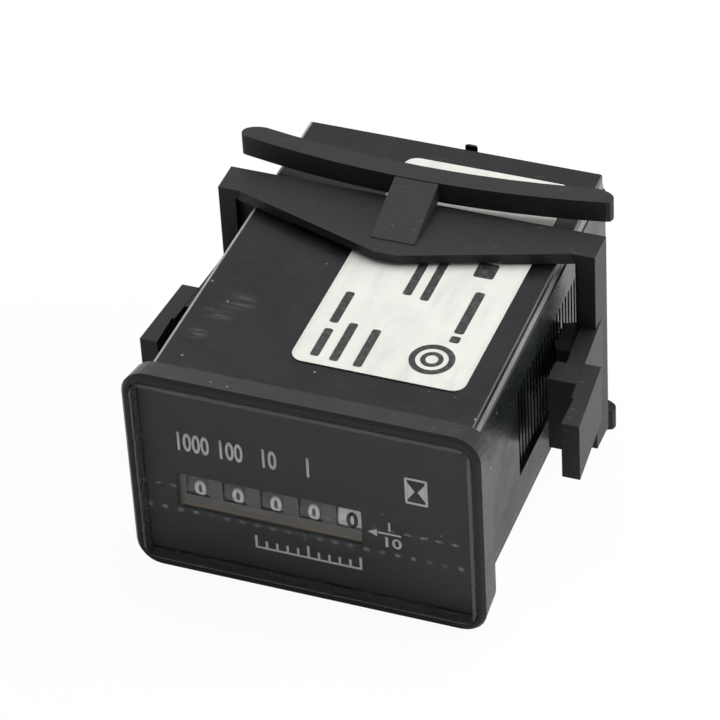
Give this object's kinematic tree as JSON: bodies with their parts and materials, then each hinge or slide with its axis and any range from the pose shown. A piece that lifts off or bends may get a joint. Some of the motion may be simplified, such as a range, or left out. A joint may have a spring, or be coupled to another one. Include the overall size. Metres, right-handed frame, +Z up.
{
  "type": "panel hour meter",
  "caption": "Rectangular snap-in hour meter: black case with flange, clear lens over a number-wheel counter, spring clamp with ratchet feet, and two rear tabs.",
  "frame": {"origin": "centre of the part's bounding box, on the centre line of the case", "axes": "+Y points from the dial to the rear along the case, +Z up, +X to the right as the dial is seen"},
  "size_m": [0.051, 0.0584, 0.0324],
  "materials": {
    "gloss_black": "glossy black moulding",
    "matte_black": "matt black moulding",
    "clear_lens": "clear plastic",
    "dial_black": "matt black print",
    "label_white": "off-white sticker",
    "wheel_black": "matt black",
    "wheel_white": "matt white",
    "gear_plastic": "natural acetal",
    "frame_plastic": "brown moulding",
    "brass": "bright",
    "steel": "bright",
    "copper_wire": "enamelled copper wire",
    "board_green": "solder resist",
    "chip_black": "moulded",
    "capacitor_sleeve": "shrunk sleeve",
    "resistor_tan": "lacquered",
    "diode_black": "moulded"
  },
  "bodies": {
    "housing": {"case": "gloss_black", "lens": "clear_lens", "dial_plate": "dial_black", "label": "label_white", "back_cover": "gloss_black", "terminal_positive": "brass", "terminal_negative": "brass", "wheel_shaft": "steel", "pinion_shaft": "brass", "counter_frame": "frame_plastic", "gear_cover": "frame_plastic", "movement_screw_1": "steel", "movement_screw_2": "steel", "movement_screw_3": "steel", "motor_stator": "steel", "coil_bobbin": "frame_plastic", "coil_winding": "copper_wire", "circuit_board": "board_green", "timer_chip": "chip_black", "capacitor": "capacitor_sleeve", "quartz_crystal": "steel", "resistor": "resistor_tan", "diode": "diode_black"},
    "clamp": {"mounting_clamp": "matte_black"},
    "tenths": {"wheel_tenths": "wheel_white"},
    "units": {"wheel_units": "wheel_black"},
    "tens": {"wheel_tens": "wheel_black"},
    "hundreds": {"wheel_hundreds": "wheel_black"},
    "thousands": {"wheel_thousands": "wheel_black"},
    "pinion_1": {"transfer_pinion_1": "gear_plastic"},
    "pinion_2": {"transfer_pinion_2": "gear_plastic"},
    "pinion_3": {"transfer_pinion_3": "gear_plastic"},
    "pinion_4": {"transfer_pinion_4": "gear_plastic"},
    "gear_1": {"reduction_gear_1": "gear_plastic"},
    "gear_2": {"reduction_gear_2": "gear_plastic"},
    "rotor": {"motor_rotor": "steel"}
  },
  "joints": [
    {"name": "clamp_slide", "type": "slide", "parent": "housing", "child": "clamp", "axis": [0, 1, 0], "range_m": [-0.0123, 0.0106]},
    {"name": "rotor_spin", "type": "hinge", "parent": "housing", "child": "rotor", "pos_m": [0.00433, -0.00687, -0.0003], "axis": [1, 0, 0], "continuous": true},
    {"name": "gear_1_spin", "type": "hinge", "parent": "housing", "child": "gear_1", "pos_m": [0.00433, -0.01156, 0.0007], "axis": [1, 0, 0], "continuous": true},
    {"name": "gear_2_spin", "type": "hinge", "parent": "housing", "child": "gear_2", "pos_m": [0.00433, -0.0172, -0.00135], "axis": [1, 0, 0], "continuous": true},
    {"name": "tenths_spin", "type": "hinge", "parent": "housing", "child": "tenths", "pos_m": [0.00433, -0.02227, -0.0032], "axis": [1, 0, 0], "continuous": true},
    {"name": "units_spin", "type": "hinge", "parent": "housing", "child": "units", "pos_m": [0.00433, -0.02227, -0.0032], "axis": [1, 0, 0], "continuous": true},
    {"name": "tens_spin", "type": "hinge", "parent": "housing", "child": "tens", "pos_m": [0.00433, -0.02227, -0.0032], "axis": [1, 0, 0], "continuous": true},
    {"name": "hundreds_spin", "type": "hinge", "parent": "housing", "child": "hundreds", "pos_m": [0.00433, -0.02227, -0.0032], "axis": [1, 0, 0], "continuous": true},
    {"name": "thousands_spin", "type": "hinge", "parent": "housing", "child": "thousands", "pos_m": [0.00433, -0.02227, -0.0032], "axis": [1, 0, 0], "continuous": true},
    {"name": "pinion_1_spin", "type": "hinge", "parent": "housing", "child": "pinion_1", "pos_m": [0.00433, -0.0248, -0.00756], "axis": [1, 0, 0], "continuous": true},
    {"name": "pinion_2_spin", "type": "hinge", "parent": "housing", "child": "pinion_2", "pos_m": [0.00433, -0.0248, -0.00756], "axis": [1, 0, 0], "continuous": true},
    {"name": "pinion_3_spin", "type": "hinge", "parent": "housing", "child": "pinion_3", "pos_m": [0.00433, -0.0248, -0.00756], "axis": [1, 0, 0], "continuous": true},
    {"name": "pinion_4_spin", "type": "hinge", "parent": "housing", "child": "pinion_4", "pos_m": [0.00433, -0.0248, -0.00756], "axis": [1, 0, 0], "continuous": true}
  ],
  "couplings": [
    {"joint": "gear_1_spin", "follows": "rotor_spin", "ratio": -0.2},
    {"joint": "gear_2_spin", "follows": "rotor_spin", "ratio": 0.04},
    {"joint": "tenths_spin", "follows": "rotor_spin", "ratio": -0.02},
    {"joint": "units_spin", "follows": "rotor_spin", "ratio": -0.002},
    {"joint": "tens_spin", "follows": "rotor_spin", "ratio": -0.0002},
    {"joint": "hundreds_spin", "follows": "rotor_spin", "ratio": -0.00002},
    {"joint": "thousands_spin", "follows": "rotor_spin", "ratio": -0.000002},
    {"joint": "pinion_1_spin", "follows": "rotor_spin", "ratio": 0.005},
    {"joint": "pinion_2_spin", "follows": "rotor_spin", "ratio": 0.0005},
    {"joint": "pinion_3_spin", "follows": "rotor_spin", "ratio": 0.00005},
    {"joint": "pinion_4_spin", "follows": "rotor_spin", "ratio": 0.000005}
  ]
}
